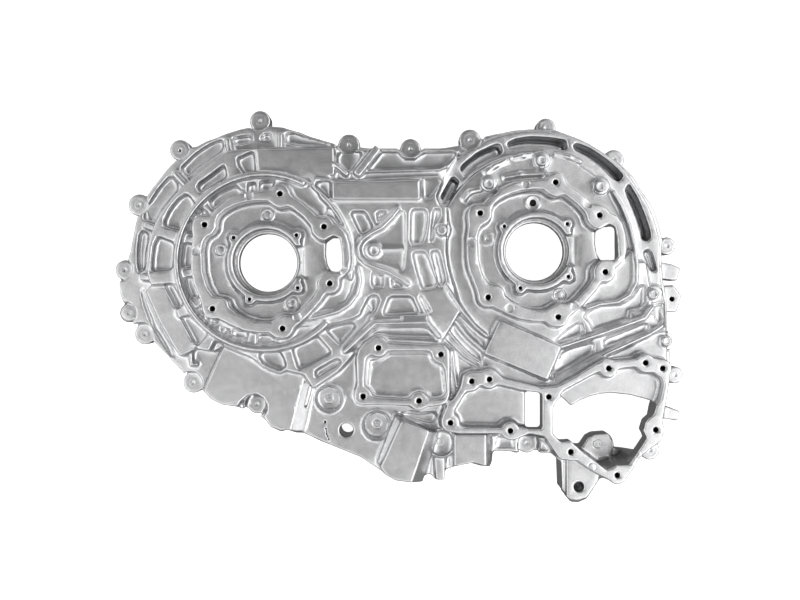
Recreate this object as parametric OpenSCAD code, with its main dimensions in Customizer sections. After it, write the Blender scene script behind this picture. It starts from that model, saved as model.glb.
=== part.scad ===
// Motor end cover of a twin-motor drive: one aluminium die casting.
// It lies on its flat mating face. Z = 0 is that face and +Z is the outer, ribbed side.
// Outlines are given on a sheet, x to the right and y down, as the casting looks from a point
// straight above the middle of the sheet. at() turns a sheet point at height z into millimetres.

/* [Motor seats] */
// Height of the two motor flanges above the mating face
seat_z = 90; // [86:1:94]
// Radius of the circle that the six flange holes lie on
hole_circle = 69.7; // [68:0.1:71]
// Radius of the tapped holes in the flanges and cover faces
tap_r = 2.5; // [2:0.1:3]
// Radius of the bearing seat
bearing_r = 33.5; // [32:0.1:34.5]
// Depth of the bearing seat
bearing_d = 20; // [16:1:22]
// Outer radius of the ring round the bearing seat
ring_r = 40.6; // [39.5:0.1:41.5]
// Radius of the shaft opening under the bearing seat
shaft_r = 29.8; // [27:0.1:31]

/* [Levels] */
// Height of the outer rim
rim_z = 42; // [40:0.5:44]
// Height of the ribs that cross the left cover
rib_z = 66; // [64:0.5:68]
// Height of the ring rib round the left seat
ring_z = 78; // [76:0.5:80]
// Height of the field between the two seats
field_z = 74; // [72:0.5:76]
// Height of the lower cover faces
face_z = 80; // [78:0.5:83]
// Height of the flange bolt bosses
lug_z = 22; // [18:0.5:26]

/* [Inside] */
// Thickness of the thinnest roofs over the hollow inside
wall = 6; // [5:0.5:7]

/* [Hidden] */
eye = 1240;
focal = 1150;
origin_x = -0.8;
origin_y = -5.4;
$fn = 48;

function k(z) = (eye - z) / focal;
function at(p, z) = [(p[0] - 400) * k(z), (300 - p[1]) * k(z)];
function pts(l, z) = [for (p = l) at(p, z)];
// Cuts every corner of an outline back a little
function soft(l) = [for (i = [0:len(l) - 1]) let (a = l[i], b = l[(i + 1) % len(l)])
    each [a * 0.88 + b * 0.12, a * 0.12 + b * 0.88]];
// Points along an arc on the sheet, angles anticlockwise from the right
function arc(c, r, a0, a1, n) = [for (i = [0:n]) let (t = a0 + (a1 - a0) * i / n)
    [c[0] + r * cos(t), c[1] - r * sin(t)]];
function band(c, r0, r1, a0, a1, n) = concat(arc(c, r1, a0, a1, n), arc(c, r0, a1, a0, n));
function ring_pts(c, r, n) = [for (i = [0:n - 1]) [c[0] + r * cos(360 * i / n), c[1] - r * sin(360 * i / n)]];
// The outline of a rib of width w that follows a line of points
function side(l, i) = let (a = l[max(i - 1, 0)], b = l[min(i + 1, len(l) - 1)], d = (b - a) / norm(b - a))
    [-d[1], d[0]];
function ribbon(l, w) = concat([for (i = [0:len(l) - 1]) l[i] + side(l, i) * w / 2],
    [for (i = [len(l) - 1:-1:0]) l[i] - side(l, i) * w / 2]);

left_c = [263.5, 261.5];
right_c = [539.5, 250];
disc_c = [534, 251];

hole_angles = [148.1, 76.5, 30, -18.4, -74.2, -137.3];
ring_angles = [143, 41.6, -39.2, -114];

outline = [[131,246],[133,236],[135,225],[137,217],[141,206],[148,194],[152,188],[160,178],[167,169],[173,163],
    [182,154],[191,147],[197,146],[206,141],[215,138],[224,134],[233,131],[240,129],[250,127],[260,126],[271,126],
    [283,127],[292,130],[300,132],[310,136],[320,139],[333,143],[345,147],[361,147],[370,148],[398,148],[410,149],
    [422,148],[440,148],[455,146],[468,142],[482,137],[490,135],[500,133],[515,130],[530,129],[545,129],[556,130],
    [570,135],[580,139],[590,144],[600,150],[614,159],[624,167],[634,177],[643,192],[651,203],[656,214],[659,224],
    [661,232],[663,240],[662,250],[662,262],[663,280],[665,287],[667,300],[668,330],[670,345],[671,366],[670,380],
    [668,395],[666,405],[663,420],[664,432],[662,441],[652,448],[640,458],[633,470],[626,480],[620,483],[610,481],
    [603,478],[600,479],[595,487],[587,499],[578,503],[570,502],[567,495],[562,490],[561,462],[556,458],[551,453],
    [540,453],[514,453],[510,451],[493,451],[492,462],[490,467],[480,466],[470,463],[458,466],[454,467],[445,470],
    [444,480],[436,480],[430,474],[418,478],[411,483],[401,479],[396,481],[385,475],[379,468],[370,462],[360,457],
    [350,453],[340,449],[330,445],[320,441],[312,437],[303,433],[296,433],[287,430],[281,432],[270,427],[265,420],
    [255,413],[245,410],[237,407],[222,405],[210,399],[203,391],[193,383],[184,374],[178,367],[170,359],[163,351],
    [157,345],[154,342],[145,336],[136,330],[130,318],[123,303],[119,292],[119,281],[124,270],[128,258],[130,252]];

// Flange edge and recess edge of a motor seat, from the seat's axis, in millimetres with y down
flange_edge = [[6.5,-71.5],[10,-75],[16.5,-77],[23,-74.5],[26,-69],[30,-64.5],[37,-60],[47,-52],[53,-46],[62,-44],
    [69,-38.5],[77,-35],[83,-28],[86.5,-16],[87.5,0],[86,8],[81,14],[74.5,18.5],[72,24],[69,28.5],[63,31],[58,39],
    [51,47],[44,55],[36,62],[31,66],[28,72],[21,77],[12,76.5],[6,71.5],[-6,71.5],[-19,69.5],[-32,64],[-46,57],
    [-56,55],[-61,49],[-63,40],[-67,30],[-71,20],[-73,8],[-73,-12],[-71,-24],[-72.5,-35],[-70,-43],[-62,-47],
    [-54,-46],[-48,-53],[-36,-63],[-24,-68.5],[-6,-70.5]];
recess_edge = [[-62,-11.5],[-60.5,-19.5],[-57.5,-24.5],[-51.5,-27.5],[-47.5,-33.5],[-47.5,-40.5],[-45.5,-45.5],
    [-38.5,-51.5],[-28.5,-56.5],[-15.5,-60],[-3.5,-61],[4.5,-60.5],[9.5,-56],[16.5,-53],[23.5,-55.5],[27.5,-54],
    [38.5,-45.5],[46.5,-36.5],[48.5,-28.5],[54.5,-22.5],[60.5,-20.5],[70,-26],[76,-23],[78,-11],[79,6],[74.5,11],
    [70,9.5],[62,10],[56.5,14.5],[53.5,20.5],[54.5,27.5],[49.5,35.5],[42.5,43.5],[34.5,51.5],[26.5,54],[18.5,52.5],
    [12.5,56.5],[7.5,59.5],[-5.5,60],[-17.5,56.5],[-27.5,51.5],[-34.5,45.5],[-35.5,39.5],[-41.5,35.5],[-50.5,34.5],
    [-56.5,25.5],[-61,10.5]];
window_edge = [[61,-20],[68,-25],[75,-24],[77.5,-12],[78.5,4],[74,10],[66,9],[62,2],[60.5,-8]];
window_back = [[66,-23],[76,-25.5],[80,-24],[82.5,-10],[83,3],[81,9.5],[66,7.5]];

// Prisms between two heights; the outline is read at the upper one
module slab(l, z0, z1) translate([0, 0, z0]) linear_extrude(height = z1 - z0) polygon(pts(l, z1));
module post(p, r, z0, z1) translate([at(p, z1)[0], at(p, z1)[1], z0]) cylinder(r = r, h = z1 - z0);
// A pocket with floor z0, read at height zr, open upwards
module cell(l, z0, zr) translate([0, 0, z0]) linear_extrude(height = 112 - z0) polygon(pts(soft(l), zr));
module well(p, r, z0, zr) translate([at(p, zr)[0], at(p, zr)[1], z0]) cylinder(r = r, h = 112 - z0);
module drill(p, r, z0, zr, h) translate([at(p, zr)[0], at(p, zr)[1], z0]) cylinder(r = r, h = h);

// A bevel that falls to the left of the line a-b from height z, by the angle t
module bevel(a, b, z, t) {
    p = at(a, z);
    q = at(b, z);
    translate([p[0], p[1], z]) rotate([0, 0, atan2(q[1] - p[1], q[0] - p[0])]) rotate([-t, 0, 0])
        translate([-20, 0, 0]) cube([norm(q - p) + 40, 60, 40]);
}

// Bolt bosses round the mating flange: sheet point and radius
lugs = [[180,150,10.5],[139,205,11],[125,270,10],[129,313,9.5],[145,334,10.5],[193.5,382.5,10.5],[257,404,9.5],
    [260,121,10.5],[349,145,11],[410.5,149,10.5],[470,140,11],[546,128,10],[614,160,10.5],[667,246,9],
    [675,375,8.5],[650,450,10],[527,443,10]];
// Room for the bolt heads: the body steps back round these bosses
module notches(l) {
    for (i = l) drill([lugs[i][0], lugs[i][1]], lugs[i][2] * k(lug_z) + 1.5, lug_z - 0.5, lug_z, 90);
}

// Body up to the rim, with the outer cells
module rim_layer() {
    difference() {
        slab(outline, 0, rim_z);
        cell([[180,168],[185,163],[193,155],[201,149],[211,143],[222,139],[224,146],[222,151],[212,158],[200,166],[190,175],[187,177]], 35, rim_z);
        cell([[168,177],[172,176],[178,184],[178,190],[166,204],[157,217],[152,223],[146,221],[143,218],[146,210],[151,199],[159,187]], 35, rim_z);
        cell([[139,234],[142,230],[149,233],[148,242],[146,252],[145,270],[139,273],[137,262],[137,250]], 35, rim_z);
        cell([[232,138],[244,135.5],[250,135],[253,139],[252,142],[236,146]], 37, rim_z);
        cell([[261,136],[265,133.5],[271,133],[272,138],[269,140],[260,140]], 37, rim_z);
        cell([[286,133],[292,132.5],[310,138],[326,143],[332,146],[300,146],[285,143]], 37, rim_z);
        cell([[140,287],[144,291],[150,305],[160,327],[171,346],[176,357],[170,356],[160,341],[151,325],[144,306]], 39, rim_z);
        notches([0, 1, 2, 3, 4, 5, 6, 7, 8, 9, 10, 16]);
    }
    // webs between the outer cells, which end in a step above the rim
    slab(ribbon([[187,187],[179,178],[173,172]], 6), 20, 54);
    slab(ribbon([[162,230],[152,227],[143,224]], 7), 20, 54);
    slab(ribbon([[234,160],[229,149],[227,138]], 6), 20, 54);
    slab(ribbon([[162,277],[148,277],[140,277]], 7), 20, 54);
    slab(ribbon([[280,149],[280,133]], 5), 20, 49);
}

// Stepped left cover, with the middle cells and the flat pad at its lower left
left_edge = [[262,148],[240,149],[228,151],[222,154],[213,161],[204,168.5],[190,179.5],[181,187],[173,196],[166,205],
    [159,215],[154,224],[150,235],[147,247],[146,262],[147,274],[150,284],[158,292],[170,310],[182,330],[197,349],
    [212,352],[224,345],[262,344],[300,334],[322,322],[340,314],[356,306],[368,295],[375,262],[370,230],[350,195],
    [322,168],[290,150]];
left_pad = [[145,291],[149,287],[154,284.5],[163,283.5],[170,297],[177,310],[180,318],[188,332],[196,347.5],[190,352],
    [180,357],[172,345],[158,320]];
module left_layer() {
    difference() {
        slab(left_edge, 26, rib_z);
        cell([[196,187],[199,182],[208,176],[217,169],[224,164],[226,170],[227,177],[218,182],[205,190],[200,193]], 54, rib_z);
        cell([[163,226],[163,221],[169,209],[177,199],[185,193],[190,196],[195,203],[190,212],[184,221],[180,231]], 54, rib_z);
        cell([[157,236],[161,237],[174,242],[173,256],[172,270],[151,272],[151,260],[153,245]], 54, rib_z);
        cell([[162,284],[172,283],[178,293],[184,304],[178,309.5],[174,308]], 56, rib_z);
        cell([[179,317],[189,315],[197,323],[207,332],[207,336],[197,347],[188,337]], 56, rib_z);
        cell([[214,340],[222,344],[215,364],[205,358]], 50, rib_z);
        cell([[236,158],[252,151],[254,153],[256,172],[244,174],[238,166]], 56, rib_z);
        translate([0, 0, 60.6]) linear_extrude(height = 40) polygon(pts([[140,288],[148.5,286],[154,285],[162.5,284],
            [169.5,297],[176.5,310.5],[179.5,318.5],[187.5,332.5],[195.3,347.8],[190,356],[176,366],[150,330]], 61));
    }
    slab(left_pad, 22, 61);
}

// Ring round the left seat: a low shelf with the inner cells, and the ring rib outside it
module ring_layer() {
    difference() {
        post(left_c, 89.5 * k(72), 57, 72);
        cell([[196,217],[198,211],[203,208],[208,212],[209,217]], 64, 72);
        cell([[190,222],[196,221],[200,238],[187,233]], 65, 72);
        cell([[183,244],[187,242],[196,245],[196,268],[182,268],[181,262],[182,252]], 65, 72);
        cell([[184,277],[195,276],[199,286],[202,296],[194,300],[190,298],[186,288]], 65, 72);
        cell([[197,308],[200,305],[205,311],[203,315],[199,314]], 64, 72);
        cell([[205,319],[219,317],[219,321],[213,326],[209,324]], 64, 72);
        cell([[220,326],[231,330],[229,336],[222,332]], 65, 72);
        cell([[233,329],[249,331],[247,341],[240,342],[231,337]], 65, 72);
        cell([[256,335],[270,334],[279,342],[262,346],[257,344]], 65, 72);
        cell([[209,201],[216,194],[228,187.5],[237,185],[241,190],[245,191],[245,195],[230,199],[214,210],[210,205]], 66, 72);
        cell([[247,183],[256,182],[257,193],[247,193]], 65, 72);
        cell([[259,181],[276,180],[271,191],[259,191]], 66, 72);
    }
    slab(band(left_c, 85.5, 90.5, 62, 316, 50), 59, ring_z);
    slab(band(left_c, 85.5, 90.5, -12, 50, 14), 59, ring_z - 2);
}

// Strip and pads along the top, between the covers
module top_layer() {
    difference() {
        slab([[256,147],[300,147],[333,146],[345,149],[398,150],[410,155],[422,150],[450,150],[461,150],[453,162],[443,178],
            [436,196],[430,210],[330,210],[257,180]], 28, 60);
        cell([[337,152],[364,151.5],[352,170],[347,173],[336,163]], 50, 60);
        cell([[380,151.5],[398,151.5],[401,155],[406,158.5],[415,158.5],[420,155],[424,152],[458,151.5],[453,159],[446,166],[440,168],[364,171]], 46, 60);
        notches([8, 9, 10]);
    }
    slab([[256,149],[334,147],[334.5,175],[258,177]], 44, 67);
    slab(ribbon([[334,163],[348,175]], 4.5), 44, 68);
    slab(ribbon([[356,175],[367,161],[378,147]], 8), 38, 66);
    slab(ribbon([[316,178],[312.5,186],[327,199]], 3.5), 44, field_z + 2);
    slab(ribbon([[364,171.5],[440,169.5],[447,166]], 2.5), 44, 63);
}

// Field between the seats, with its curved ridge
module field_layer() {
    difference() {
        slab([[311,184],[317,178],[345,181],[440,176],[443,180],[436,196],[440,205],[447,206],[447.5,225],[446,250],[448,266],
            [452,281],[457,296],[460,312],[440,345],[360,347],[348,351],[344,348],[370,320],[366,311],[354,318],[340,322],[322,325],
            [300,327],[288,322],[300,300],[330,200]], 53, field_z);
        cell([[314,186],[318,181],[331,181],[331,199],[327,198]], 64, field_z);
        cell([[422,177],[438,175.5],[442,180],[431,199],[422,199]], 64, field_z);
        cell([[411,209],[426,209],[428,216],[426,232],[422,244],[412,245],[410,240]], 69, field_z);
        cell([[433,209],[440,208],[441,215],[436,224],[434,240],[431,244],[430,240]], 69, field_z);
        cell([[412,252],[426,251],[437,283],[434,288],[422,290],[416,270]], 69, field_z);
        cell([[430,251],[439,250],[446,280],[444,287],[439,286]], 69, field_z);
        cell([[350,213],[353,211],[365,211],[374,228],[362,235],[359,232]], 66, field_z);
        cell([[376,213],[379,211],[389,211],[383,216],[378,224]], 67, field_z);
        cell([[372,271],[378,274],[384,276],[383,287],[374,288],[371,284]], 68, field_z);
        cell([[391,277],[404,286],[402,288],[392,288]], 68, field_z);
        cell([[368,297],[372,295],[377,295],[380,300],[376,311],[370,318],[362,318],[360,313]], 66, field_z);
        cell([[389,296],[412,296],[420,314],[384,316],[383,312]], 66, field_z);
        cell([[418,296],[423,296],[432,312],[427,314]], 70, field_z);
        cell([[352,354],[375,327],[427,326],[438,338],[390,337],[378,334],[365,342],[357,350]], 69, field_z);
        // flat on the inside of the ridge
        cell([[396,211],[405,211],[406,245],[403,272],[385,266],[368,262],[360,256],[359,247],[364,239],[378,230]], 71.5, field_z);
        // low shelf between flange and ridge on the lower right of the left seat
        cell([[356,268],[358,282],[353,297],[343,308],[330,313],[316,313],[306,316],[330,270]], 71, field_z);
    }
    slab([[332,182],[420,179.5],[420,199.5],[332,199.5]], 66, field_z + 2.5);
    slab(ribbon([[381,249],[404,248.5]], 4), 64, field_z - 1.2);
    slab(ribbon([[399,208],[391,218],[382,227],[372,232],[362,239],[357.5,247],[359,256],[366,263],[376,267],[390,272],
        [402,279],[409,285]], 4), 64, field_z + 3);
    slab(ribbon([[357,266],[360,280],[357,293],[349,304],[338,311],[324,315],[308,319]], 4), 62, field_z + 3);
    slab(ribbon([[343,353],[375,323],[427,322],[440,338]], 4), 52, field_z + 4);
    slab([[402,315],[428,315],[428,320],[402,320]], 62, field_z + 3);
}

// Pads and pockets under the left seat
module lower_left_layer() {
    slab(ribbon([[190,352],[191,365],[198,364]], 4), 24, 50);
    difference() {
        slab([[223,347],[258,359],[262,365],[278,372.5],[286,370],[304,372],[319,378],[304,432],[296,432],[287,430],
            [281,431],[270,427],[265,420],[263,417],[267,411],[267,405],[263,398],[256,394],[247,396],[240,402],
            [237,407],[222,405],[210,399],[203,391]], 23, 58);
        bevel([305,372], [290,432], 58, 35);
    }
    difference() {
        slab([[222,338],[262,340],[322,318],[350,309],[368,304],[377,318],[364,343],[338,372],[313,389],[304,375],[296,373],[286,370.5],
            [279,374],[262,366.5],[257,361.5],[250,357],[224,347]], 24, 68);
        cell([[262,351],[279,350],[283,356],[287,366],[280,371],[262,363],[258,356]], 60, 68);
        cell([[291,348],[303,341],[316,334],[331,351],[331,354],[310,365],[298,370]], 59, 68);
        cell([[325,330],[333,326],[352,322],[357,326],[345,340],[340,346]], 61, 68);
        cell([[314,371],[337,358],[343,362],[316,379]], 60, 68);
    }
}

// Plate with its round seats, the raised block and the large cover face
module plate_layer() {
    difference() {
        slab([[300,372],[330,372],[360,340],[440,340],[458,425],[452,433],[440,428],[430,430],[420,460],[411,480],[396,481],
            [360,457],[330,445],[303,433],[290,430]], 18, 48);
        well([329,398.5], 13.8, 43, 48);
        well([377,425.5], 15, 43, 48);
        cell([[400,413],[410,411],[421,413],[436,411],[437,418],[432,425],[412,420],[401,416]], 44, 48);
    }
    difference() {
        slab([[402,420],[412,424],[430,431],[438,434],[432,455],[423,485],[411,483],[396,481],[385,475],[380,467],[386,455],
            [392,441],[397,430]], 25, 70);
        bevel([430,429], [411,485], 70, 58);
    }
    slab(ribbon([[400,417],[394,431],[389,444],[381,465]], 9), 25, 62);
    difference() {
        post([441,443], 15.4, 16, 50);
        well([441,443], 13.2, 44, 50);
    }
    slab([[434,456],[445,456],[445,480],[436,480]], 16, 46);
    slab(ribbon([[452,350],[454,370],[457,388]], 3), 40, 70);
    difference() {
        slab([[356,358],[358,350],[364,343],[372,337],[378,335],[384,338],[388,342],[445,345],[449,350],[450,360],
            [450,395],[447,403],[440,406],[428,407],[420,411],[415,410],[410,406],[370,405],[358,404],[354,400],
            [355,390],[357,385]], 29, face_z);
        cell([[366,358],[372,354.5],[383,355],[388,351],[430,351],[434,359],[442,364],[445,370],[447,392],[443,398],
            [430,399],[424,394],[417,392],[409,399],[374,397],[368,389],[364,385]], 73, face_z);
    }
}

// Deep slots round the right cover
module slots() {
    cell([[440,198],[451,178],[454,176.5],[460,182],[450,199],[446,201]], 28, 58);
    cell([[460,169],[463,164],[478,152],[497,143.5],[501,145],[503,152],[498,156],[480,165],[468,175],[465,176],[462,172]], 26, 58);
    cell([[507,143],[515,139],[530,136.5],[550,137.5],[566,140],[568,148],[564,150],[550,147],[530,145],[515,147],[509,148]], 24, 58);
    cell([[573,145],[577,143],[590,148],[605,158],[617,168],[624,176],[619,182],[612,178],[600,166],[588,157],[575,150]], 24, 58);
    cell([[625,190],[629,183],[638,198],[645,215],[650,230],[651,238],[648,241],[642,240],[640,230],[635,215],[628,198]], 24, 58);
}

// Right cover: slotted band, shelf with the pegs and flat pockets at the lower right
right_edge = [[600,150],[612,158],[623,168],[632,179],[641,193],[649,206],[654,218],[657,228],[660,240],[660,262],[661,280],
    [663,290],[665,302],[666,332],[640,332],[600,300],[600,200]];
module right_layer() {
    difference() {
        union() {
            post(disc_c, 120.5 * k(58), 17, 58);
            slab(right_edge, 17, 58);
        }
        cell([[643,252],[648,249],[652,252],[656,265],[657,270],[652,272],[649,268]], 46, 58);
        notches([10]);
    }
    difference() {
        union() {
            post(disc_c, 97 * k(66), 51, 66);
            slab([[600,262],[646,262],[650,285],[653,300],[645,318],[600,334],[562,346],[545,335],[560,300]], 40, 66);
        }
        cell([[592,331],[630,319],[630,310],[640,310],[646,303],[646,285],[640,285],[633,297],[622,304],[602,305],[591,309],[583,316],[590,324]], 62, 66);
        cell([[553,343],[578,337],[585,332],[583,323],[578,322],[566,330],[556,340]], 62, 66);
    }
    slab([[600,262],[612,258],[624,258],[631,250],[637,262],[637,282],[630,295],[618,302],[600,304],[586,309],[575,300]], 54, 73);
    slab([[500,319.5],[562,347],[548,380.5],[484,354]], 34, 72);
    slab(ribbon([[561,347],[600,334],[645,318],[654,306]], 4), 33, 69);
    difference() {
        slab([[552,383],[562,346],[600,333],[645,317],[653,304],[664,303],[664,326],[600,359]], 21, 61);
        cell([[563,351],[592,342],[595,345],[594,352],[557,374],[555,372]], 57.5, 61);
        cell([[603,348],[604,339],[645,323],[649,325],[648,332]], 57.5, 61);
        cell([[654,307],[662,305],[663,318],[659,324],[655,320]], 54, 61);
    }
    slab(ribbon([[552,383],[600,357],[650,334],[664,325]], 4), 19, 64);
    slab([[430,322],[440,318],[452,312],[489,333],[500,345],[484,354],[484,372],[466,363],[446,344]], 21, 62);
    slab(ribbon([[430,322],[446,342],[462,358],[480,369]], 3), 19, 67);
    slab(ribbon([[440,320],[455,340],[470,355],[484,364]], 2.5), 19, 65);
    slab(ribbon([[453,318],[468,337],[485,352]], 3.5), 19, 69);
    slab(ribbon([[444,283],[455,300],[463,312],[476,327],[488,337]], 3), 19, 76);
    slab(ribbon([[613,190],[622,205],[630,225],[635,245],[637.5,264],[637,282],[630,295],[618,302],[600,304],[586,309]], 3.5), 19, 76);
    slab([[484,353],[492,352],[548,378],[556,382],[575,373],[600,358],[601,366],[575,381],[556,391],[540,391],[503,383],
        [489,373],[480,371]], 20, 66);
    slab([[446,344],[458,352],[473,368],[466,377],[460,390],[453,399],[444,408],[446,395]], 20, 65);
    slab([[440,330],[456,322],[500,345],[560,372],[600,352],[665,300],[668,372],[600,380],[500,385],[450,400]], 21, 56);
}

// Small cover face with its floor plate, and the face round the wide opening
module lower_right_layer() {
    difference() {
        slab([[463,375],[470,371],[480,371],[489,368],[496,371],[503,378],[540,387],[556,386],[575,376],[598,362],
            [606,358],[613,361],[636,359],[641,355],[647,354],[655,358],[663,360],[668,364],[670,370],[670,380],
            [668,395],[666,405],[663,420],[664,432],[662,441],[652,448],[640,458],[633,470],[626,480],[620,483],
            [610,481],[590,470],[577,461],[560,460],[545,437],[530,434],[513,441],[500,434],[460,434],[446,432],
            [441,420],[447,405],[455,397],[460,388]], 15, face_z);
        cell([[466,392],[475,391],[481,385],[490,387],[499,385],[524,391],[541,393],[541,428],[522,428],[505,428],
            [460,427],[453,413]], 60, face_z);
        cell([[559,393.5],[600,371],[606,377],[612,378],[617,372],[619,369],[636,367],[643,373],[655,373],[662,378],
            [664,385],[660,402],[648,414],[600,420],[571,407]], 62, face_z);
    }
    difference() {
        slab([[454,434],[493,434],[493,462],[487,467],[474,463],[454,467]], 18, 52);
        bevel([486,430], [486,468], 52, 50);
    }
    difference() {
        slab([[490,434],[548,434],[550,453],[490,451]], 15, 44);
        cell([[496,437],[513,437],[513,447.5],[496,447.5]], 37, 44);
        cell([[538,438],[550,445],[546,451],[537,450]], 28, 44);
        notches([16]);
    }
    // lug below the opening and stubs on the right
    slab([[566,448],[600,470],[599,480],[595,487],[587,498],[578,501],[570,500],[566.5,497]], 0, 46);
    slab([[645,258],[661,262],[672,264],[681,268],[677,281],[662,279],[645,276]], 0, 30);
    slab([[650,287],[674,285],[682,296],[677,312],[650,312]], 0, 26);
    slab([[645,402],[662,405],[680,411],[678,421],[660,418],[645,416]], 0, 34);
    slab([[650,366],[675,367],[675,383],[650,384]], 0, lug_z - 2);
}

// A motor seat: flange, recess with floor, bearing ring and its bore, placed on the seat's axis
recess_z = seat_z - 28;
ring_top = seat_z - 21;
module seat_solid() {
    translate([0, 0, 60]) linear_extrude(height = seat_z - 60) mirror([0, 1]) polygon(flange_edge);
    for (a = [76.5, 30, -18.4, -74.2, -137.3]) rotate([0, 0, a]) translate([hole_circle, 0, 61]) cylinder(r = 10.2, h = seat_z - 61);
}
// Edge of the bearing ring with a small round boss of 6 mm at each of its tapped holes
function boss_reach(t) = abs(t) < 8 ? 41.5 * cos(t) + sqrt(36 - pow(41.5 * sin(t), 2)) : 0;
function turn(t) = (t + 540) % 360 - 180;
function ring_reach(t) = max(concat([ring_r], [for (a = ring_angles) boss_reach(turn(t - a))]));
function ring_edge(n) = [for (i = [0:n - 1]) let (t = 360 * i / n) ring_reach(t) * [cos(t), sin(t)]];
// The recess leaves the bearing ring standing
module seat_recess() {
    difference() {
        translate([0, 0, recess_z]) linear_extrude(height = 40) mirror([0, 1]) polygon(recess_edge);
        translate([0, 0, recess_z - 2]) linear_extrude(height = ring_top - recess_z + 2) polygon(ring_edge(144));
    }
    // flat gap to the right, down to the floor
    translate([26, -15.5, recess_z - 2]) cube([12, 32, 38]);
    translate([34, -16, recess_z - 0.5]) cube([12, 33, 36]);
}
module seat_holes() {
    translate([0, 0, ring_top - bearing_d]) cylinder(r = bearing_r, h = bearing_d + 1);
    translate([0, 0, ring_top - 1.5]) cylinder(r1 = bearing_r, r2 = bearing_r + 2, h = 2);
    translate([0, 0, 20]) cylinder(r = shaft_r, h = 40);
    for (a = hole_angles) rotate([0, 0, a]) translate([hole_circle, 0, seat_z - 18]) cylinder(r = tap_r, h = 19);
    for (a = ring_angles) rotate([0, 0, a]) translate([41.5, 0, ring_top - 11]) cylinder(r = 1.6, h = 12);
    translate([0, 0, 30]) linear_extrude(height = 40) mirror([0, 1]) polygon(window_edge);
    // the window widens behind the flange
    translate([0, 0, 29]) linear_extrude(height = seat_z - 34) mirror([0, 1]) polygon(window_back);
}
module on_seat(c) translate([at(c, 90)[0], at(c, 90)[1], 0]) children();

// Tapped bosses of the two lower cover faces
face_holes = [[378.5,348],[441,354.5],[363,396.5],[419,401],[450.5,423],[472,381.5],[489.5,379.5],[549,397],
    [510.5,431],[571,452],[617.5,475.5],[656,430],[609,368.5],[646,363],[663,368.5]];
// Round pegs that stand on the ribs: sheet point, height of the foot
pegs = [[489,183,66],[542,160,66],[601,186,66],[442,230,67],[374,250,66],[654,294,60],[667,341,46]];

module posts() {
    for (p = lugs) post([p[0], p[1]], p[2] * k(lug_z), 0, lug_z);
    for (p = face_holes) post([p[0], p[1]], 9.3, 27, face_z);
    for (p = pegs) {
        post([p[0], p[1]], 5.6, p[2] - 4, p[2] + 13);
        post([p[0], p[1]], 8.5, p[2] - 8, p[2] + 2);
    }
    slab([[119,281],[137,281],[137,303],[123,303]], 0, lug_z - 3);
    post([129,313], 8 * k(lug_z), 0, lug_z + 1.5);
}

// Inside of the casting, open downwards
module hollow_cyl(c, r, z1) translate([at(c, 90)[0], at(c, 90)[1], -1]) cylinder(r = r, h = z1 + 1);
module hollow(l, z1) translate([0, 0, -1]) linear_extrude(height = z1 + 1) polygon(pts(l, z1));

module inside() {
    difference() {
        union() {
            hollow_cyl([266,262.5], 112, 35 - wall);
            hollow_cyl([264,262], 98, 51 - wall);
            hollow_cyl([263.5,261.5], 80, recess_z - 1 - wall);
            hollow_cyl([534,251], 103, 30.5 - wall);
            hollow_cyl([536,251], 94, 52 - wall);
            hollow_cyl([539.5,250], 80, recess_z - 0.5 - wall);
            hollow([[592,223],[616,223],[616,262],[592,262]], 57);
            hollow([[250,152],[330,160],[430,167],[433,205],[465,250],[470,320],[330,330],[260,340]], 45 - wall);
            hollow([[330,210],[440,210],[440,310],[340,330]], 62.5 - wall);
            hollow([[212,352],[230,340],[330,330],[440,330],[440,436],[430,440],[392,452],[378,446],[350,434],[310,417],
                [270,398],[240,392],[213,384],[200,372]], 40 - wall);
            hollow([[230,358],[258,368],[300,382],[312,386],[306,408],[272,392],[240,386],[216,378]], 57 - wall);
            hollow([[403,432],[424,440],[408,472],[398,471],[390,462],[397,444]], 66.5 - wall);
            hollow([[366,348],[440,352],[442,396],[410,398],[366,396]], 70.5 - wall);
            hollow([[450,335],[560,365],[650,310],[655,352],[560,384],[500,378],[465,420],[450,420]], 49 - wall);
            hollow([[462,396],[482,384],[520,392],[546,398],[546,430],[458,430],[452,416]], 58.5 - wall);
            hollow([[556,392],[600,372],[650,368],[656,384],[654,394],[600,400],[556,404]], 62 - wall);
        }
        // hubs under the bearing seats, with their ribs
        for (c = [left_c, right_c]) on_seat(c) {
            translate([0, 0, 38]) cylinder(r = 41, h = 60);
            for (a = [65:60:305]) rotate([0, 0, a]) translate([39, -2.5, 34]) cube([48, 5, 60]);
        }
        // pillars under the tapped holes of the cover faces
        for (p = face_holes) drill(p, 7.5, 12, face_z, 90);
        // tube round the hole in the plate
        drill([346.5,430], 11.5, -2, 46, 60);
        // ribs across the middle
        for (x = [-24, 14, 52]) translate([x, -150, 30]) cube([5, 240, 60]);
    }
}

// The wide opening inside the lower right face, with a round boss low down in it, and the window beside it
opening_edge = [[553,409],[557,401],[562,397],[568,402],[573.5,407.5],[583,402],[593,398],[603,395.5],[615,394.5],[634,396.5],
    [649,400.5],[657,403],[654,414],[646,421],[643,431],[647,438],[629,465],[617,465],[607,470],[583,452],[571,441],[561,442],[553,434]];
under_edge = [[522,388],[560,384],[600,382],[640,384],[652,392],[648,405],[645,421],[640,430],[642,438],[634,449],
    [622,447],[612,446],[608,434],[603,430],[590,431],[584,434],[578,443],[560,441],[551,433],[522,432]];
module wide_opening() {
    difference() {
        translate([0, 0, 9]) linear_extrude(height = 101) polygon(pts(opening_edge, face_z));
        post([597,446], 18, 0, 26);
        slab([[575,440],[600,452],[600,470],[575,462]], 0, 25);
    }
    translate([0, 0, -1]) linear_extrude(height = 57) polygon(pts(under_edge, 0));
    translate([0, 0, -1]) linear_extrude(height = 110) polygon(pts([[526,392],[541,393],[541,428],[526,428]], 70));
}

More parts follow.
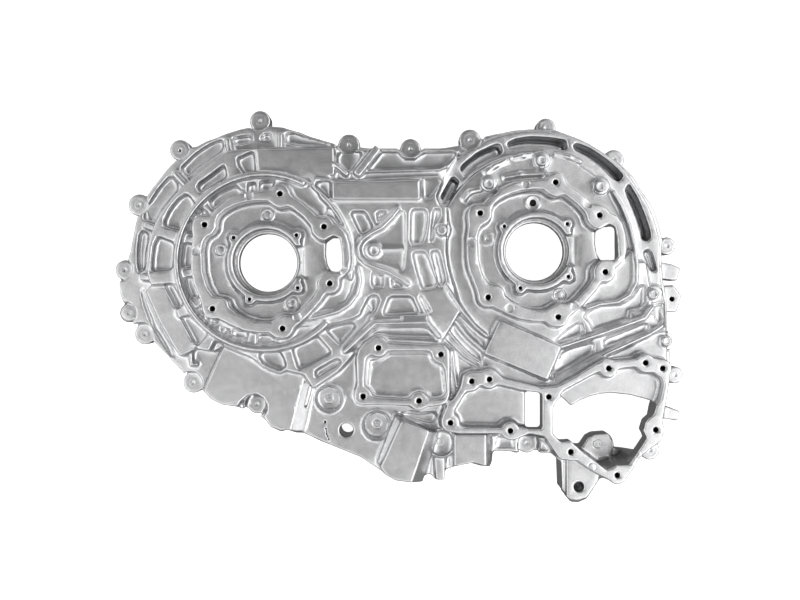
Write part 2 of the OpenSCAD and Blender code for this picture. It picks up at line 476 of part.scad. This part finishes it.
module end_cover() {
    color("silver")
    translate([-origin_x, -origin_y, 0])
    difference() {
        union() {
            rim_layer();
            left_layer();
            ring_layer();
            top_layer();
            field_layer();
            lower_left_layer();
            plate_layer();
            right_layer();
            lower_right_layer();
            posts();
            on_seat(left_c) seat_solid();
            on_seat(right_c) seat_solid();
        }
        inside();
        wide_opening();
        slots();
        on_seat(left_c) seat_recess();
        on_seat(right_c) seat_recess();
        on_seat(left_c) seat_holes();
        on_seat(right_c) seat_holes();
        for (p = face_holes) drill(p, tap_r, face_z - 16, face_z, 17);
        drill([346.5,430], 7.1, -1, 46, 60);
        drill([579,487], 5.2, 14, 46, 60);
        drill([533,203], 3, recess_z - 4, recess_z, 6);
    }
}

end_cover();
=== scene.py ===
import math
import time

import bpy
import numpy as np
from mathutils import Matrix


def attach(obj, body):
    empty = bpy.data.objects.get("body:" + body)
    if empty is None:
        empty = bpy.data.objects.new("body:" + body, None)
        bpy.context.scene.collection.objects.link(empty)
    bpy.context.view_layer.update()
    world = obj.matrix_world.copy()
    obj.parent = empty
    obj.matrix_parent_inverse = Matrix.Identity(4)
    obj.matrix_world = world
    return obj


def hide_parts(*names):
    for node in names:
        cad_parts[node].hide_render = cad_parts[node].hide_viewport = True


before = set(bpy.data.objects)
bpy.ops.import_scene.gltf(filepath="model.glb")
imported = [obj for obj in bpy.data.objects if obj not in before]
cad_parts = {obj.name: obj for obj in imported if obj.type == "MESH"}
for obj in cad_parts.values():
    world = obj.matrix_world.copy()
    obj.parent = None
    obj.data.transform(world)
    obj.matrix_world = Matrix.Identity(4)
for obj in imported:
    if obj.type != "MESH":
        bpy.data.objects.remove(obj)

import openvdb as vdb

T0 = time.time()
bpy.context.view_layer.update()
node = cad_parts["end_cover"]


def log(*a):
    print("%.1f s" % (time.time() - T0), *a, flush=True)


# ---------------------------------------------------------------------------------------------
# Places on the casting. A place is a point on a sheet 800 wide and 600 high, as seen from
# 1240 mm above the mating face; at() turns it into millimetres at height z.
EYE, FOCAL = 1240.0, 1150.0
SHIFT = (0.8, 5.4)


def at(p, z):
    k = (EYE - z) / FOCAL
    return (p[0] - 400) * k + SHIFT[0], (300 - p[1]) * k + SHIFT[1]


SEATS = [(-135.7, 43.9), (140.3, 55.4)]
FLANGE_HOLES = [148.1, 76.5, 30, -18.4, -74.2, -137.3]
RING_HOLES = [143, 41.6, -39.2, -114]
FACE_HOLES = [[378.5, 348], [441, 354.5], [363, 396.5], [419, 401], [450.5, 423], [472, 381.5], [489.5, 379.5],
              [549, 397], [510.5, 431], [571, 452], [617.5, 475.5], [656, 430], [609, 368.5], [646, 363], [663, 368.5]]
PEGS = [[489, 183, 79], [542, 160, 79], [601, 186, 79], [442, 230, 80], [374, 250, 79], [654, 294, 73], [667, 341, 59]]
LUGS = [[180, 150, 10.5], [139, 205, 11], [125, 270, 10], [129, 313, 9.5], [145, 334, 10.5], [193.5, 382.5, 10.5],
        [257, 404, 9.5], [260, 121, 10.5], [349, 145, 11], [410.5, 149, 10.5], [470, 140, 11], [546, 128, 10],
        [614, 160, 10.5], [667, 246, 9], [675, 375, 8.5], [650, 450, 10], [527, 443, 10]]

# ---------------------------------------------------------------------------------------------
# The casting's skin: the CAD solid as a distance field, its edges rounded and its corners filled
# as a die casting's are, with the holes cut sharp again and the marks of the die added.
H = 0.7
me = node.data
me.calc_loop_triangles()
v = np.empty(len(me.vertices) * 3, np.float32)
me.vertices.foreach_get("co", v)
v = v.reshape(-1, 3) * 1000.0
t = np.empty(len(me.loop_triangles) * 3, np.int32)
me.loop_triangles.foreach_get("vertices", t)
t = t.reshape(-1, 3)
grid = vdb.FloatGrid.createLevelSetFromPolygons(v / H, triangles=t.astype(np.uint32), halfWidth=6.0)
LO = np.floor(v.min(0) / H).astype(int) - 6
HI = np.ceil(v.max(0) / H).astype(int) + 6
S = np.empty(tuple(int(x) for x in (HI - LO + 1)), np.float32)
grid.copyToArray(S, ijk=tuple(int(x) for x in LO))
S *= H
del grid
AX = [(LO[i] + np.arange(S.shape[i], dtype=np.float32)) * H for i in range(3)]
log("field", S.shape)


def block(x0, x1, y0, y1, z0, z1):
    """The part of the field in a box, with its coordinates."""
    sl, co = [], []
    for i, (a, b) in enumerate(((x0, x1), (y0, y1), (z0, z1))):
        i0 = int(np.clip(np.floor(a / H) - LO[i], 0, S.shape[i] - 1))
        i1 = int(np.clip(np.ceil(b / H) - LO[i] + 1, 1, S.shape[i]))
        sl.append(slice(i0, i1))
        shape = [1, 1, 1]
        shape[i] = -1
        co.append(AX[i][i0:i1].reshape(shape))
    return tuple(sl), co[0], co[1], co[2]


def smin(a, b, k):
    if k <= 0:
        return np.minimum(a, b)
    h = np.maximum(k - np.abs(a - b), 0) / k
    return np.minimum(a, b) - h * h * k * 0.25


def put(sl, d, k=0.0):
    S[sl] = smin(S[sl], d, k)


def cut(sl, d, k=0.0):
    S[sl] = -smin(-S[sl], d, k)


def disc(c, r, z0, z1, cutting=False, k=0.0, cone=0.0):
    """A round boss or hole between two heights; cone widens it per millimetre of height."""
    m = r + abs(cone) * (z1 - z0) + 3
    sl, x, y, z = block(c[0] - m, c[0] + m, c[1] - m, c[1] + m, z0 - 3, z1 + 3)
    rho = np.sqrt((x - c[0]) ** 2 + (y - c[1]) ** 2)
    d = np.maximum(rho - r - cone * (z - z0), np.maximum(z0 - z, z - z1))
    (cut if cutting else put)(sl, d, k)


def groove(c, r, z, w, k=0.0, raised=False):
    """A round line of radius w, sunk into or raised from a flat at height z."""
    m = r + w + 2
    sl, x, y, zz = block(c[0] - m, c[0] + m, c[1] - m, c[1] + m, z - w - 2, z + w + 2)
    rho = np.sqrt((x - c[0]) ** 2 + (y - c[1]) ** 2)
    d = np.sqrt((rho - r) ** 2 + (zz - z) ** 2) - w
    (put if raised else cut)(sl, d, k)


def poly2d(pts, x, y):
    """Distance to a polygon in plan, negative inside."""
    d = np.full(np.broadcast(x, y).shape, 1e9, np.float32)
    inside = np.zeros(d.shape, bool)
    n = len(pts)
    for i in range(n):
        ax, ay = pts[i]
        bx, by = pts[(i + 1) % n]
        ex, ey = bx - ax, by - ay
        wx, wy = x - ax, y - ay
        t = np.clip((wx * ex + wy * ey) / (ex * ex + ey * ey + 1e-9), 0, 1)
        d = np.minimum(d, (wx - t * ex) ** 2 + (wy - t * ey) ** 2)
        c = (ay > y) != (by > y)
        if ay != by:
            inside ^= c & (x < (bx - ax) * (y - ay) / (by - ay) + ax)
    d = np.sqrt(d)
    return np.where(inside, -d, d)


def prism(px, zr, z0, z1, cutting=False, k=0.0, draft=0.0, tilt=None):
    """A prism over a sheet polygon read at height zr. tilt = (sheet point, gradient x, gradient y) slopes its top."""
    pts = [at(p, zr) for p in px]
    xs, ys = [p[0] for p in pts], [p[1] for p in pts]
    sl, x, y, z = block(min(xs) - 4, max(xs) + 4, min(ys) - 4, max(ys) + 4, z0 - 3, z1 + 3)
    d2 = poly2d(pts, x[:, :, 0], y[:, :, 0])[:, :, None]
    top = z - z1
    if tilt:
        c = at(tilt[0], zr)
        g = math.sqrt(1 + tilt[1] ** 2 + tilt[2] ** 2)
        top = (z - z1 - tilt[1] * (x - c[0]) - tilt[2] * (y - c[1])) / g
    d = np.maximum(d2 + draft * (z - z0), np.maximum(z0 - z, top))
    (cut if cutting else put)(sl, d, k)


def line(px, zr, z, w, cutting=True, k=0.0):
    """A thin groove or bead along a sheet line at height z."""
    pts = [at(p, zr) for p in px]
    for (ax, ay), (bx, by) in zip(pts, pts[1:]):
        sl, x, y, zz = block(min(ax, bx) - w - 2, max(ax, bx) + w + 2, min(ay, by) - w - 2, max(ay, by) + w + 2,
                             z - w - 2, z + w + 2)
        ex, ey = bx - ax, by - ay
        t = np.clip(((x - ax) * ex + (y - ay) * ey) / (ex * ex + ey * ey), 0, 1)
        d = np.sqrt((x - ax - t * ex) ** 2 + (y - ay - t * ey) ** 2 + (zz - z) ** 2) - w
        (cut if cutting else put)(sl, d, k)


def slope(px, zr, a, b, z, deg, k=0.0):
    """Cuts a slope inside a sheet polygon; it falls to the left of a-b from height z."""
    pts = [at(p, zr) for p in px]
    xs, ys = [p[0] for p in pts], [p[1] for p in pts]
    p, q = at(a, z), at(b, z)
    n = math.hypot(q[0] - p[0], q[1] - p[1])
    nx, ny, fall = -(q[1] - p[1]) / n, (q[0] - p[0]) / n, math.tan(math.radians(deg))
    sl, x, y, zz = block(min(xs) - 3, max(xs) + 3, min(ys) - 3, max(ys) + 3, z - 40, z + 6)
    d2 = poly2d(pts, x[:, :, 0], y[:, :, 0])[:, :, None]
    plane = z - fall * ((x - p[0]) * nx + (y - p[1]) * ny)
    cut(sl, np.maximum(d2, (plane - zz) / math.sqrt(1 + fall * fall)), k)


def blur(a, sigma):
    s = sigma / H
    r = max(1, int(np.ceil(2.5 * s)))
    w = np.exp(-0.5 * (np.arange(-r, r + 1) / s) ** 2)
    w = (w / w.sum()).astype(np.float32)
    for axis in range(3):
        out = a * w[r]
        for i in range(1, r + 1):
            hi = [slice(None)] * 3
            lo = [slice(None)] * 3
            hi[axis] = slice(i, None)
            lo[axis] = slice(None, -i)
            hi, lo = tuple(hi), tuple(lo)
            out[lo] += a[hi] * w[r + i]
            out[hi] += a[lo] * w[r - i]
        a = out
    return a


# edges are rounded by the narrow blur, corners are filled by the wide one
small = blur(S, 0.9)
log("narrow blur")
wide = blur(S, 2.1)
log("wide blur")
S = np.minimum(small, wide)
del small, wide

# flat mating face underneath stays flat
sl, x, y, z = block(-400, 400, -300, 300, -10, 1.0)
S[sl] = np.maximum(S[sl], -z)

# marks of the die: pin marks, rings, beads and small slopes
for x, y, r in LUGS:
    c = at((x, y), 22)
    groove(c, 5.4, 22, 0.28)
    disc(c, 1.6, 21.5, 30, True)
disc(at((180, 151), 22), 1.1, 18, 30, True)
for p in [(249, 196), (196, 251), (297, 317), (345, 272), (526, 184), (588, 203), (471, 242), (624, 260), (510, 308),
          (575, 306)]:
    disc(at(p, 90), 4.2, 89.3, 96, True)
for p, r, q in [((267.5, 215), 7.2, 4.1), ((220.5, 250.5), 7.2, 4.6), ((292.5, 304), 8.0, 3.7), ((487, 239), 7.2, 1.2),
                ((559, 295), 7.2, 4.2)]:
    c = at(p, 62)
    disc(c, r, 58, 62.8)
    groove(c, q, 62.8, 0.55)
groove(at((533, 203), 62), 7.0, 62, 0.7, raised=True)
disc(at((533, 203), 62), 3.0, 58, 80, True)
# round seats in the plate
c = at((329, 398.5), 48)
groove(c, 15.6, 47.8, 0.9, 0.8, raised=True)
c = at((329, 398.5), 43)
groove(c, 12.4, 43, 0.6)
groove(c, 4.6, 43, 0.45)
groove(c, 2.2, 43, 0.35)
c = at((377, 425.5), 48)
groove(c, 16.6, 47.8, 0.9, 0.8, raised=True)
c = at((377.3, 424), 43)
groove(c, 12.4, 43, 0.7)
groove(c, 4.6, 43, 0.45)
groove(c, 2.2, 43, 0.35)
for p, z in [((440.6, 441.5), 44), ((597, 444), 26)]:
    c = at(p, z)
    groove(c, 4.6, z, 0.45)
    groove(c, 2.2, z, 0.35)
for p in [(592, 467), (638, 455)]:
    groove(at(p, 80), 4.0, 80, 0.6)
disc(at((672, 299), 26), 2.6, 14, 34, True)
for x, y, z in PEGS:
    c = at((x, y), z)
    disc(at((x, y), z - 7), 8.6, z - 14, z - 7, k=0.8)
    groove(at((x, y), z - 10), 9.4, z - 12, 0.8)
    disc(c, 3.4, z - 1.0, z + 6, True)
# beads and grooves
line([(222, 349), (212, 370), (204, 388)], 42, 42, 1.1, True)
line([(325.5, 428), (327, 435), (330, 442)], 48, 47.8, 0.8, True)
disc(at((325, 422), 48), 1.6, 47.3, 52, True)
line([(505, 177.5), (520, 174.5), (545, 173.5)], 66, 64.6, 3.0, False, 2.5)
line([(486, 172), (494, 166), (505, 161)], 66, 64.6, 3.0, False, 2.5)
line([(514, 157.5), (522, 155.5), (531, 154)], 66, 64.6, 3.0, False, 2.5)
line([(556, 153.5), (570, 157), (580, 161.5)], 66, 64.6, 3.0, False, 2.5)
line([(464, 199), (470, 192), (480, 189.5)], 66, 64.6, 3.0, False, 2.5)
line([(371, 361), (384, 358.5), (391, 354.5), (428, 354.5), (432, 361), (441, 367), (443.5, 390)], 73, 73, 0.8, False)
line([(371, 361), (368.5, 385), (376, 394.5), (408, 396.5), (417, 389.5), (426, 392), (432, 396), (441, 396)], 73, 73,
     0.8, False)
log("marks")

# tapped holes
# the holes drilled here are also listed for the near-black paint that stands for the shade inside them
HOLE_SHADE_AND_MARK = []
for c in SEATS:
    for a in FLANGE_HOLES:
        p = (c[0] + 69.7 * math.cos(math.radians(a)), c[1] + 69.7 * math.sin(math.radians(a)))
        disc(p, 2.5, 72, 100, True)
        HOLE_SHADE_AND_MARK.append((p, 2.5, 90))
    for a in RING_HOLES:
        p = (c[0] + 41.5 * math.cos(math.radians(a)), c[1] + 41.5 * math.sin(math.radians(a)))
        disc(p, 1.6, 58, 78, True)
        HOLE_SHADE_AND_MARK.append((p, 1.6, 69))
    # bearing seat and shaft opening
    disc(c, 33.5, 49, 74, True)
    disc(c, 33.5, 67.5, 72, True, cone=1.0)
    disc(c, 29.8, 20, 60, True)
    groove(c, 33.4, 49.6, 0.8)
for p in FACE_HOLES:
    disc(at(p, 80), 2.5, 64, 90, True)
    HOLE_SHADE_AND_MARK.append((at(p, 80), 2.5, 80))
# the dark mark in the plate
for p in [(325.8, 429), (326.3, 431.5), (326.9, 434), (327.7, 436.5), (328.8, 439)]:
    HOLE_SHADE_AND_MARK.append((at(p, 48), 0.6, 48.1))
HOLE_SHADE_AND_MARK += [(at((325, 422), 48), 1.0, 48.2), (at((533, 203), 62), 3.0, 62), (at((180, 151), 22), 1.1, 22), (at((672, 299), 26), 2.6, 26)]
log("holes")

del_lo = tuple(int(i) for i in LO)
grid = vdb.FloatGrid()
grid.background = float(6 * H)
grid.copyFromArray(np.ascontiguousarray(S), ijk=del_lo)
points, tris, quads = grid.convertToPolygons(isovalue=0.0, adaptivity=0.02)
del grid
log("skin", points.shape, tris.shape, quads.shape)


def mesh_from(name, co, tris, quads):
    m = bpy.data.meshes.new(name)
    n3, n4 = len(tris), len(quads)
    m.vertices.add(len(co))
    m.vertices.foreach_set("co", np.ascontiguousarray(co, np.float32).reshape(-1))
    m.loops.add(3 * n3 + 4 * n4)
    m.loops.foreach_set("vertex_index", np.concatenate([tris.reshape(-1), quads.reshape(-1)]).astype(np.int32))
    m.polygons.add(n3 + n4)
    starts = np.concatenate([np.arange(n3) * 3, 3 * n3 + np.arange(n4) * 4]).astype(np.int32)
    m.polygons.foreach_set("loop_start", starts)
    m.update(calc_edges=True)
    m.validate()
    return m


def largest_part(n, tris, quads):
    """Which vertices belong to the largest connected part."""
    e = np.concatenate([tris[:, [0, 1]], tris[:, [1, 2]], quads[:, [0, 1]], quads[:, [1, 2]], quads[:, [2, 3]]])
    e = e.astype(np.int64)
    lab = np.arange(n)
    while True:
        low = lab.copy()
        m = np.minimum(lab[e[:, 0]], lab[e[:, 1]])
        np.minimum.at(low, e[:, 0], m)
        np.minimum.at(low, e[:, 1], m)
        low = low[low]
        if (low == lab).all():
            break
        lab = low
    return lab == np.bincount(lab).argmax()


co = points * (H / 1000.0)
ok = largest_part(len(co), tris, quads)
log("parts", len(co) - int(ok.sum()), "vertices dropped")
tris, quads = tris[ok[tris[:, 0]]], quads[ok[quads[:, 0]]]
index = np.cumsum(ok) - 1
co, tris, quads = co[ok], index[tris], index[quads]
# outward faces: flip them if the signed volume is negative
q = quads.astype(np.int64)
a, b, c3 = co[q[:, 0]].astype(np.float64), co[q[:, 1]].astype(np.float64), co[q[:, 2]].astype(np.float64)
if np.einsum("ij,ij->i", a, np.cross(b, c3)).sum() < 0:
    quads = quads[:, ::-1]
    tris = tris[:, ::-1]
raw = mesh_from("skin_raw", co, tris, quads)
skin = bpy.data.objects.new("casting_raw", raw)
bpy.context.scene.collection.objects.link(skin)
count = len(tris) + 2 * len(quads)
mod = skin.modifiers.new("lean", "DECIMATE")
mod.ratio = min(1.0, 186000 / count)
dg = bpy.context.evaluated_depsgraph_get()
lean = bpy.data.meshes.new_from_object(skin.evaluated_get(dg))
bpy.data.objects.remove(skin)
bpy.data.meshes.remove(raw)
log("lean", len(lean.vertices), len(lean.polygons))

lean.shade_smooth()
lean.set_sharp_from_angle(angle=math.radians(55))
casting = bpy.data.objects.new("end_cover_casting", lean)
bpy.context.scene.collection.objects.link(casting)
wn = casting.modifiers.new("weighted", "WEIGHTED_NORMAL")
wn.mode = "FACE_AREA"
wn.weight = 50
wn.keep_sharp = True
dg = bpy.context.evaluated_depsgraph_get()
final = bpy.data.meshes.new_from_object(casting.evaluated_get(dg))
casting.modifiers.clear()
casting.data = final
final.name = "end_cover_casting"
log("normals", len(final.polygons))


# ---------------------------------------------------------------------------------------------
# Material: bright die-cast aluminium
def material():
    m = bpy.data.materials.new("cast_aluminium")
    m.use_nodes = True
    nt = m.node_tree
    nt.nodes.clear()
    N, L = nt.nodes, nt.links

    def node_(kind, **kw):
        n = N.new(kind)
        for key, val in kw.items():
            setattr(n, key, val)
        return n

    out = node_("ShaderNodeOutputMaterial")
    bsdf = node_("ShaderNodeBsdfPrincipled")
    L.new(bsdf.outputs[0], out.inputs[0])
    tex = node_("ShaderNodeTexCoord")

    def noise(scale, detail=4.0, rough=0.55, dist=0.0):
        n = node_("ShaderNodeTexNoise")
        n.inputs["Scale"].default_value = scale
        n.inputs["Detail"].default_value = detail
        n.inputs["Roughness"].default_value = rough
        n.inputs["Distortion"].default_value = dist
        L.new(tex.outputs["Object"], n.inputs["Vector"])
        return n.outputs["Fac"]

    def ramp(fac, stops):
        r = node_("ShaderNodeValToRGB")
        e = r.color_ramp.elements
        e[0].position, e[0].color = stops[0][0], (*[stops[0][1]] * 3, 1)
        e[1].position, e[1].color = stops[-1][0], (*[stops[-1][1]] * 3, 1)
        for pos, val in stops[1:-1]:
            n = e.new(pos)
            n.color = (val, val, val, 1)
        L.new(fac, r.inputs[0])
        return r.outputs[0]

    def math_(op, a, b=None):
        n = node_("ShaderNodeMath", operation=op)
        for i, s in enumerate((a, b)):
            if s is None:
                continue
            if isinstance(s, (int, float)):
                n.inputs[i].default_value = s
            else:
                L.new(s, n.inputs[i])
        return n.outputs[0]

    cloud = noise(28, 5, 0.6, 0.3)          # broad cloudy tone, about 30 mm
    patch = noise(110, 4, 0.6, 0.2)         # smaller patches
    grain = noise(900, 3, 0.6)              # fine cast grain, about 1 mm

    tone_and_shade = math_("MULTIPLY", ramp(cloud, [(0.3, 0.90), (0.7, 1.06)]), ramp(patch, [(0.3, 0.94), (0.7, 1.05)]))
    tone_and_shade = math_("MULTIPLY", tone_and_shade, ramp(grain, [(0.3, 0.95), (0.7, 1.04)]))
    mix = node_("ShaderNodeMix", data_type="RGBA", blend_type="MULTIPLY")
    mix.inputs[0].default_value = 1.0
    mix.inputs[6].default_value = (0.79, 0.79, 0.80, 1)
    # painted shade: steep walls get a darker base colour than the flats and edges
    geo = node_("ShaderNodeNewGeometry")
    sep = node_("ShaderNodeSeparateXYZ")
    L.new(geo.outputs["Normal"], sep.inputs[0])
    wall_painted_shade = node_("ShaderNodeMapRange", interpolation_type="SMOOTHSTEP")
    L.new(math_("ABSOLUTE", sep.outputs["Z"]), wall_painted_shade.inputs[0])
    for i, val in enumerate((0.12, 0.55, 0.54, 1.0)):
        wall_painted_shade.inputs[i + 1].default_value = val
    # painted shade: the random tone is darkened on steep walls from here on
    tone_and_shade = math_("MULTIPLY", tone_and_shade, wall_painted_shade.outputs[0])
    L.new(tone_and_shade, mix.inputs[7])
    L.new(mix.outputs[2], bsdf.inputs["Base Color"])
    bsdf.inputs["Metallic"].default_value = 0.85
    rough = math_("ADD", math_("MULTIPLY", patch, 0.08), 0.20)
    L.new(rough, bsdf.inputs["Roughness"])
    bump1 = node_("ShaderNodeBump")
    bump1.inputs["Strength"].default_value = 0.10
    bump1.inputs["Distance"].default_value = 0.0006
    L.new(patch, bump1.inputs["Height"])
    bump2 = node_("ShaderNodeBump")
    bump2.inputs["Strength"].default_value = 0.12
    bump2.inputs["Distance"].default_value = 0.00015
    L.new(grain, bump2.inputs["Height"])
    L.new(bump1.outputs[0], bump2.inputs["Normal"])
    L.new(bump2.outputs[0], bsdf.inputs["Normal"])
    return m


# near-black material that paints the shade inside the holes, and paints the mark in the plate dark
def hole_shade_and_mark_material():
    m = bpy.data.materials.new("hole_shade_and_mark_paint")
    m.use_nodes = True
    b = m.node_tree.nodes["Principled BSDF"]
    b.inputs["Base Color"].default_value = (0.03, 0.03, 0.03, 1)
    b.inputs["Metallic"].default_value = 0.0
    b.inputs["Roughness"].default_value = 0.7
    b.inputs["Specular IOR Level"].default_value = 0.2
    return m


final.materials.clear()
final.materials.append(material())
final.materials.append(hole_shade_and_mark_material())
# painted shade: the walls inside the small holes get the near-black material; the same loop also paints the mark in
# the plate dark
nf = len(final.polygons)
mid = np.empty(nf * 3, np.float32)
final.polygons.foreach_get("center", mid)
mid = mid.reshape(-1, 3) * 1000.0
slots = np.zeros(nf, np.int32)
for (hx, hy), r, top in HOLE_SHADE_AND_MARK:
    near = ((mid[:, 0] - hx) ** 2 + (mid[:, 1] - hy) ** 2 < (r + 0.5) ** 2) & (mid[:, 2] < top - 0.5)
    slots[near & (mid[:, 2] > top - 24)] = 1
final.polygons.foreach_set("material_index", slots)
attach(casting, "root")
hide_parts("end_cover")

# ---------------------------------------------------------------------------------------------
# Floor, light and camera
fm = bpy.data.materials.new("floor_white")
fm.use_nodes = True
fb = fm.node_tree.nodes["Principled BSDF"]
fb.inputs["Base Color"].default_value = (0.93, 0.93, 0.93, 1)
fb.inputs["Roughness"].default_value = 0.9
fb.inputs["Emission Color"].default_value = (1, 1, 1, 1)
fb.inputs["Emission Strength"].default_value = 1.0
bpy.ops.mesh.primitive_plane_add(size=12, location=(0, 0, -0.0002))
floor = bpy.context.object
floor.name = "floor"
floor.data.materials.append(fm)
# the floor lights neither the casting's flats nor its walls from below
floor.visible_glossy = False
floor.visible_diffuse = False

scene = bpy.context.scene
world = bpy.data.worlds.new("studio")
scene.world = world
world.use_nodes = True
wt = world.node_tree
bg = wt.nodes["Background"]
bg.inputs[0].default_value = (1, 1, 1, 1)
coord = wt.nodes.new("ShaderNodeTexCoord")
split = wt.nodes.new("ShaderNodeSeparateXYZ")
wt.links.new(coord.outputs["Generated"], split.inputs[0])
DX, DY, DZ = split.outputs


def sky(op, a, b):
    n = wt.nodes.new("ShaderNodeMath")
    n.operation = op
    for i, s in enumerate((a, b)):
        if isinstance(s, (int, float)):
            n.inputs[i].default_value = s
        else:
            wt.links.new(s, n.inputs[i])
    return n.outputs[0]


def fade(v, a, b, lo=0.0, hi=1.0):
    n = wt.nodes.new("ShaderNodeMapRange")
    n.interpolation_type = "SMOOTHSTEP"
    wt.links.new(v, n.inputs[0])
    for i, s in enumerate((a, b, lo, hi)):
        n.inputs[i + 1].default_value = s
    return n.outputs[0]


def towards(v, sign):
    return sky("MAXIMUM", sky("MULTIPLY", v, sign), 0.0)


# a broad sheet of light overhead, brighter to the right, and soft strip lights low on each side
OVER, OVER_RIGHT, OVER_LEFT, OVER_BACK = 0.02, 4.5, 2.6, -1.35
STRIPS = (1.5, 1.25, 0.65, 0.35)
over = sky("ADD", sky("ADD", sky("MULTIPLY", towards(DX, 1.0), OVER_RIGHT), OVER),
           sky("ADD", sky("MULTIPLY", towards(DX, -1.0), OVER_LEFT), sky("MULTIPLY", DY, OVER_BACK)))
over = sky("MULTIPLY", sky("MAXIMUM", over, 0.02), fade(DZ, 0.62, 0.84))
strips = 0.0
for v, sign, power in ((DX, 1.0, STRIPS[0]), (DX, -1.0, STRIPS[1]), (DY, 1.0, STRIPS[2]), (DY, -1.0, STRIPS[3])):
    strips = sky("ADD", sky("MULTIPLY", sky("POWER", towards(v, sign), 2.0), power), strips)
strips = sky("MULTIPLY", strips, sky("MULTIPLY", fade(DZ, 0.0, 0.22), fade(DZ, 0.45, 0.62, 1.0, 0.0)))
wt.links.new(sky("ADD", sky("ADD", over, strips), fade(DZ, 0.78, 0.92, 0.17, 0.03)), bg.inputs[1])

cam = bpy.data.cameras.new("camera")
cam.sensor_width = 36
cam.lens = 36 * FOCAL / 800
cam.clip_start = 0.01
camera = bpy.data.objects.new("camera", cam)
camera.location = (SHIFT[0] / 1000, SHIFT[1] / 1000, EYE / 1000)
scene.collection.objects.link(camera)
scene.camera = camera
scene.view_settings.view_transform = "Standard"
scene.view_settings.look = "None"

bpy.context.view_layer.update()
log("done")
